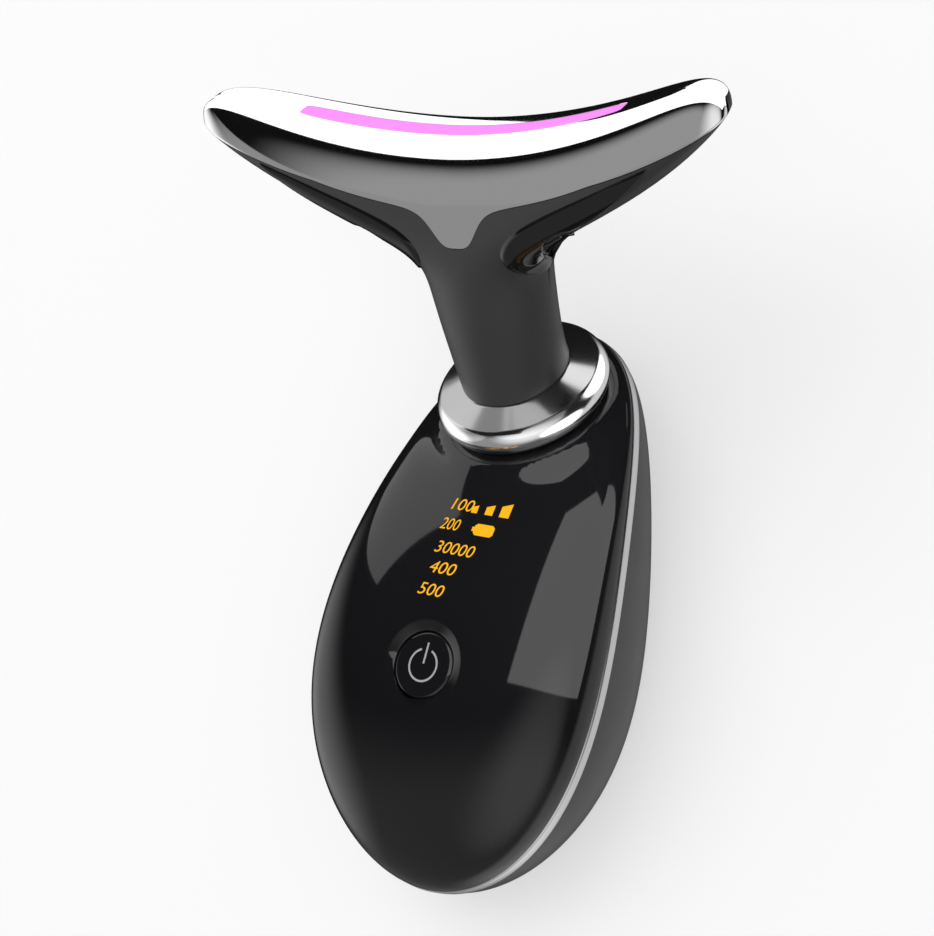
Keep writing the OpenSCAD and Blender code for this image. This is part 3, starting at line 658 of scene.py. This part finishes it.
plate_rings = [plate_ring((k/80)**1.3, 0) for k in range(81)]
plate_rings += [plate_ring(share, plate_t) for share in (1, 0.8, 0.5, 0.2, 0)]
made = bmesh.new()
add_loft(made, plate_rings, closed=True)
plate_chrome = Material("plate_chrome", (0.88, 0.88, 0.89), 0.045, 1.0)
plate_chrome.link("Roughness", plate_chrome.noise(7, 3)*0.04 + 0.03)
plate = place(finish_mesh("contact_plate", made, plate_chrome), "polished_plate", "head_electrode")

# ---- light strip: translucent pink lens, lit from behind ----
# A moulded bar with rounded ends that follows the plate's bend. It is set in the plate's slot,
# level with it, and glows softly.
lens_edge = [(1.2, -0.05), (0.15, -0.05), (0.03, -0.12), (0.0, -0.4)]
lens_rings = []
for drop, grow in lens_edge:
    points = [slot_point(t, grow) for t in head_turns]
    lens_rings.append([bent(x, face_w(f, 0) - drop, f) for x, f in points])
made = bmesh.new()
add_loft(made, lens_rings)
made.verts.ensure_lookup_table()
count = len(head_turns)
middle = count//2
for start in (0, count*(len(lens_edge) - 1)):
    ring = made.verts[start:start + count]
    made.faces.new((ring[1], ring[0], ring[-1]))
    for k in range(2, middle):
        made.faces.new((ring[k], ring[k - 1], ring[1 - k], ring[-k]))
    made.faces.new(ring[middle - 1:middle + 2])
pink = Material("pink_lens", (0.22, 0.06, 0.22), 0.5, Emission_Strength=0.8)
pink.shader.inputs["Emission Color"].default_value = (0.95, 0.3, 0.95, 1)
pink.shade(0.05, pink.noise(6)).bump(pink.noise(0.5), 0.01)
place(finish_mesh("light_strip_lens", made, pink), "pink_lens", "led_lens")

# ---- side inlays: glossy black leaves under the wings ----
# Each leaf lies in a recess of the wing's flank and stands a little proud of it. A shallow
# hollow with a bright edge is pressed into its lower half.
leaf_start = 16.0
leaf_end = 28.2
leaf_foot_a = -12
leaf_tip_a = 48
leaf_turn_a = leaf_tip_a - leaf_foot_a


def leaf_front(q):
    """Angle of the leaf's front edge by the share of its height, in degrees."""
    return leaf_foot_a + leaf_turn_a*q + 113*sqrt(q)*(1 - q)**0.6


def leaf_back(q):
    """Angle of the leaf's back edge by the share of its height, in degrees."""
    return leaf_foot_a + leaf_turn_a*smooth_step((q - 0.2)/0.45) - 30*sqrt(q)*(1 - q)**2


def flank_point(side, w, angle, out):
    """A place on the head's surface at a height w and an angle from its side, moved out."""
    a = radians(angle)
    power = 2/head_power(w, -out)
    x = head_half(w, -out)*cos(a)**power
    f = depth_at(x, w, -out)*abs(sin(a))**power*(1 if a > 0 else -1)
    p = bent(x, w, f)
    return side*p.x, p.y, p.z


def leaf_rings(side, steps=90, rows=48):
    """Rings across the leaf: a crowned face with rounded edges, and its foot in the recess."""
    rings = []
    for i in range(steps + 1):
        q = 0.5 - 0.499*cos(pi*i/steps)
        w = leaf_start + (leaf_end - leaf_start)*q
        back, front = leaf_back(q), leaf_front(q)
        end = min(1, 10*q, 10*(1 - q))
        ring = []
        for j in range(rows + 1):
            s = 2*j/rows - 1
            rim = min(1, 9*(1 - abs(s)))*end
            hollow = smooth_step((0.30 - hypot((q - 0.36)/0.9, (s + 0.42)/1.9))/0.05)
            out = 0.04 + 0.2*sqrt(1 - (1 - rim)**2) - 0.22*hollow
            ring.append(flank_point(side, w, back + (front - back)*j/rows, out))
        ring += [flank_point(side, w, back + (front - back)*(1 - j/4), -0.5) for j in range(5)]
        rings.append(ring)
    return rings


gloss_inlay = Material("gloss_inlay", (0.005, 0.005, 0.0055), 0.06)
gloss_inlay.link("Roughness", gloss_inlay.noise(4)*0.03 + 0.05).bump(gloss_inlay.noise(5), 0.004)
for side, word in ((-1, "left"), (1, "right")):
    rings = leaf_rings(side)
    made = bmesh.new()
    add_loft(made, rings)
    made.verts.ensure_lookup_table()
    count = len(rings[0])
    for first in (0, count*(len(rings) - 1)):
        made.faces.new(made.verts[first:first + count])
    leaf = place(finish_mesh("leaf_inlay_" + word, made, gloss_inlay, 60), "gloss_inlay")
    if side < 0:
        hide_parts("side_inlays")

# ---- display: amber numerals, level bars and a battery sign, lit behind the cover ----
# The light shines through thin places in the moulding. It is drawn as thin glowing shapes on
# the cover's skin.
amber = Material("amber_display", (0.05, 0.02, 0.001), 0.4, Emission_Strength=1.0)
amber.shader.inputs["Emission Color"].default_value = (0.98, 0.48, 0.004, 1)
amber.shade(0.04, amber.noise(1.5))


def on_cover(made):
    """Moves flat shapes in plan on to the cover's skin, 0.02 mm proud."""
    for vert in made.verts:
        vert.co.z = front_z(vert.co.x, vert.co.y) + 0.02
    return made


def sign(points):
    """A flat shape in plan, as one face."""
    made = bmesh.new()
    made.faces.new([made.verts.new((*p, 0)) for p in points])
    return made


def numerals(name, text, x, y, height, width):
    """Numbers whose lower left corner is at x, y, drawn to that height and width."""
    curve = bpy.data.curves.new(name, "FONT")
    curve.body = text
    curve.resolution_u = 6
    curve.shear = 0.22
    written = bpy.data.objects.new(name, curve)
    bpy.context.scene.collection.objects.link(written)
    bpy.context.view_layer.update()
    mesh = written.evaluated_get(bpy.context.evaluated_depsgraph_get()).to_mesh()
    made = bmesh.new()
    made.from_mesh(mesh)
    bpy.data.objects.remove(written)
    low = [min(v.co[i] for v in made.verts) for i in (0, 1)]
    high = [max(v.co[i] for v in made.verts) for i in (0, 1)]
    for v in made.verts:
        v.co.x = x + (v.co.x - low[0])/(high[0] - low[0])*width
        v.co.y = y + (v.co.y - low[1])/(high[1] - low[1])*height
    return place(finish_mesh(name, on_cover(made), amber), "led_chip")


numeral_h = 1.75
lines = [("100", -3.6, 10.0, 3.7), ("200", -4.2, 6.9, 3.2), ("30000", -3.6, 3.4, 6.6)]
lines += [("400", -3.3, 0.4, 4.4), ("500", -4.0, -2.9, 4.3)]
for text, x, y, width in lines:
    numerals("numeral_" + text, text, x, y, numeral_h, width)
bars_y = 9.95
bars = [(-0.1, 1.0, 1.2), (2.2, 1.3, 1.6), (4.6, 1.6, 2.2)]
for k, (x, w, h) in enumerate(bars):
    bar = sign([(x, bars_y), (x + w, bars_y), (x + w, bars_y + h), (x, bars_y + h*0.72)])
    place(finish_mesh("level_bar_%d" % (k + 1), on_cover(bar), amber), "led_chip")
battery = sign([(1.5, 7.1), (1.9, 6.75), (4.4, 6.75), (4.8, 7.1), (4.8, 8.15), (4.4, 8.5), (1.9, 8.5),
                (1.5, 8.15), (1.5, 7.95), (1.15, 7.95), (1.15, 7.3), (1.5, 7.3)])
place(finish_mesh("battery_sign", on_cover(battery), amber), "led_chip")

# ---- inner pieces, screws and the charging socket: the CAD solids with better finishes ----
# They keep their exact shapes and bodies. Each takes the finish of its own stuff: moulded
# plastic, plated steel, board laminate, rubber, foil, film or wire.
rubber = Material("soft_rubber", (0.012, 0.012, 0.012), 0.7)
rubber.bump(rubber.noise(0.2, 3), 0.01).shade(0.2, rubber.noise(1))
inner = Material("inner_moulding", (0.02, 0.02, 0.022), 0.5)
inner.bump(inner.noise(0.3, 3), 0.01).shade(0.2, inner.noise(2))
steel = Material("screw_steel", (0.6, 0.6, 0.62), 0.3, 1.0)
steel.link("Roughness", steel.noise(0.6, 3)*0.15 + 0.22).bump(steel.noise(0.3), 0.003)
laminate = Material("board_laminate", (0.01, 0.12, 0.05), 0.35)
laminate.shade(0.25, laminate.noise(0.8, 4)).bump(laminate.noise(0.4), 0.008)
chip = Material("chip_epoxy", (0.012, 0.012, 0.013), 0.55)
chip.bump(chip.noise(0.15, 3), 0.006).shade(0.2, chip.noise(1))
phosphor = Material("led_phosphor", (0.85, 0.78, 0.5), 0.4)
phosphor.shade(0.08, phosphor.noise(0.5))
film = Material("film_polyimide", (0.5, 0.2, 0.04), 0.3)
film.shade(0.12, film.noise(2, 1, (6, 1, 1)))
foil = Material("cell_foil", (0.5, 0.52, 0.54), 0.35, 1.0)
foil.bump(foil.noise(2, 3), 0.05).link("Roughness", foil.noise(3)*0.15 + 0.3)
wire = Material("wire_sleeve", (0.3, 0.012, 0.012), 0.45)
wire.shade(0.1, wire.noise(1)).bump(wire.noise(0.3), 0.005)
white = Material("plunger_white", (0.75, 0.75, 0.72), 0.45)
white.bump(white.noise(0.2), 0.005).shade(0.05, white.noise(1))
brass = Material("contact_brass", (0.72, 0.5, 0.2), 0.3, 1.0)
brass.link("Roughness", brass.noise(0.8)*0.12 + 0.25)
finishes = {
    rubber: ("collar_seal", "motor_sleeve", "battery_pad"),
    inner: ("neck_retainer", "head_carrier", "light_box"),
    steel: ("neck_screws", "board_screws", "case_screws", "motor_can", "motor_rotor", "usb_port"),
    laminate: ("led_board", "main_board", "charge_board"),
    chip: ("temperature_sensor", "board_chips", "tact_switch", "usb_tongue"),
    phosphor: ("head_leds", "display_leds"),
    film: ("heater_film",),
    wire: ("head_wires", "battery_leads"),
    white: ("switch_plunger",),
    foil: ("battery",),
    brass: ("band_contact",),
}
for finish, names in finishes.items():
    for name in names:
        mesh = nodes[name].data
        mesh.materials.clear()
        mesh.materials.append(finish.made)

# ---- floor, lights and surroundings ----
# A pale floor that keeps a faint shadow, two lamps for the soft studio light, and panels that
# draw the bright fields on the chrome and on the black gloss, each for its own pieces.
floor_half = 6000
made = bmesh.new()
bmesh.ops.create_grid(made, x_segments=1, y_segments=1, size=floor_half)
bmesh.ops.translate(made, vec=(0, 0, -0.05), verts=made.verts)
floor_look = Material("pale_floor", (0.3, 0.3, 0.3), 0.7, Emission_Strength=0.545)
floor_look.shade(0.005, floor_look.noise(300))
camera_only = floor_look.place.node("ShaderNodeLightPath", out="Is Camera Ray")
floor_look.link("Emission Color", camera_only)
floor = finish_mesh("floor", made, floor_look)
floor.visible_glossy = False


def only(name, *pieces):
    """A collection of the pieces that a lamp is for."""
    made = bpy.data.collections.new(name)
    for piece in pieces:
        made.objects.link(piece)
    return made


plate_only = only("plate_only", plate)
collar_only = only("collar_only", collar)
covers_only = only("covers_only", front_cover, button)
matte_only = only("matte_only", rear, shell)


def lamp(name, centre, size, radiance, receivers=None, turn=0, slope=0, tip=0):
    """A rectangular lamp that shines down, or to a side when it slopes or tips.

    With receivers it lights and shows in them alone, and otherwise no glossy piece shows it.
    """
    data = bpy.data.lights.new(name, "AREA")
    data.shape = "RECTANGLE"
    data.size, data.size_y = size[0]*MM, size[1]*MM
    data.energy = radiance*4*data.size*data.size_y
    obj = bpy.data.objects.new(name, data)
    bpy.context.scene.collection.objects.link(obj)
    obj.location = Vector(centre)*MM
    obj.rotation_euler = (radians(tip), radians(slope), radians(turn))
    obj.visible_camera = False
    if receivers:
        obj.light_linking.receiver_collection = receivers
    else:
        obj.visible_glossy = False
    return obj


lamp("overhead", (-300, 300, 800), (800, 800), 2.0)
lamp("side_fill", (450, -300, 700), (600, 600), 1.2)
lamp("left_panel", (-199.6, 169.3, 60), (420, 160), 0.95, covers_only, turn=-25.5)
lamp("right_panel", (44.5, 24.5, 55.7), (122, 83), 1.55, covers_only, slope=34.2)
glow_far = 400
glow_centre = Vector((0, 26, 24))


def glow(name, way, half_angle, radiance, receivers=collar_only):
    """A round lamp far from the collar in that direction, for these pieces alone."""
    way = Vector(way).normalized()
    width = 2*glow_far*tan(radians(half_angle))
    obj = lamp(name, glow_centre + glow_far*way, (width, width), radiance, receivers)
    obj.data.shape = "DISK"
    obj.data.energy *= pi/4
    obj.rotation_euler = way.to_track_quat("Z", "Y").to_euler()


glow("collar_left", (-0.82, 0.44, 0.37), 21, 0.28)
glow("collar_left_soft", (-0.78, 0.43, 0.5), 33, 0.18)
glow("collar_back", (-0.13, 0.58, 0.80), 11, 0.36)
glow("collar_back_soft", (-0.13, 0.58, 0.80), 16, 0.2)
glow("collar_blob", (0.6, 0.8, -0.1), 30, 1.1)
glow("collar_behind", (0.02, 0.92, 0.38), 9, 0.7)
glow("collar_front", (0.35, -0.2, 0.9), 38, 0.16)
glow("collar_crescent", (0.88, -0.42, -0.05), 28, 1.1)
glow("collar_foot", (-0.85, -0.2, 0.45), 34, 0.2)
glow("matte_left", (-0.8, -0.3, 0.5), 25, 0.7, matte_only)
lamp("white_panel", (0, 150, 31.5), (620, 246), 1.1, plate_only, tip=-35.6)

# The card in front of the white panel: a part of a ball that grows from black to grey. Only
# the contact plate mirrors its light.
card_r = 66
card_centre = Vector((0, 50, 50))
card_cuts = [((0, -0.03, 0), (0, 1, 0)), ((0, -0.8, 0), (0, -1, 0))]
card_cuts += [((0.3, 0, 0), (1, 0, 0)), ((0, 0, 0.42), (0, 0, -1))]
made = bmesh.new()
bmesh.ops.create_uvsphere(made, u_segments=96, v_segments=64, radius=card_r)
for co, no in card_cuts:
    bmesh.ops.bisect_plane(made, geom=made.verts[:] + made.edges[:] + made.faces[:], clear_outer=True,
                           plane_co=Vector(co)*card_r, plane_no=no)
bmesh.ops.translate(made, vec=card_centre, verts=made.verts)
grey_look = Material("grey_card", (0, 0, 0), 1.0, Emission_Strength=0.31)
forward = grey_look.place.node("ShaderNodeVectorMath", grey_look.place, (0, -15.15, 6.06),
                               operation="DOT_PRODUCT", out=1)
grey_look.link("Emission Color", (forward + 0.4545).step(0.5, 0.8))
card = finish_mesh("grey_card", made, grey_look)
for ray in ("camera", "diffuse", "shadow", "transmission"):
    setattr(card, "visible_" + ray, False)
card.light_linking.receiver_collection = plate_only

# The surroundings are plain to the camera and to matte light. Glossy pieces mirror a dark
# studio with a grey front, two soft fields and the bright floor on the right.
world = bpy.data.worlds.new("studio")
bpy.context.scene.world = world
world.use_nodes = True
tree = world.node_tree
background = tree.nodes["Background"]
way = Socket(tree, tree.nodes.new("ShaderNodeTexCoord").outputs["Generated"])
camera_ray = way.node("ShaderNodeLightPath", out="Is Camera Ray")
glossy_ray = way.node("ShaderNodeLightPath", out="Is Glossy Ray")


def toward(x, y, z):
    """Cosine of the angle between a ray and a direction."""
    unit = Vector((x, y, z)).normalized()
    return way.node("ShaderNodeVectorMath", way, unit, operation="DOT_PRODUCT", out=1)


def field(x, y, z, inner, outer):
    """1 within the inner angle of a direction and 0 beyond the outer one, in degrees."""
    return toward(x, y, z).step(cos(radians(outer)), cos(radians(inner)))


grey_front = (1 - toward(0, 1, 0).step(-0.66, -0.2))*0.28
left_glow = field(-0.97, -0.25, 0.05, 5, 36)*1.1
near_glow = field(0.45, -0.58, 0.65, 12, 50)*0.6
bright_floor = toward(0, 0, -1).step(0.2, 0.45)*toward(1, 0, 0).step(-0.3, 0.1)*0.65
sky = grey_front + left_glow + near_glow + 0.006 + bright_floor
seen = glossy_ray*sky + (1 - glossy_ray)*0.8
seen = camera_ray*0.955 + (1 - camera_ray)*seen
tree.links.new(seen.out, background.inputs["Strength"])
background.inputs["Color"].default_value = (1, 1, 1, 1)
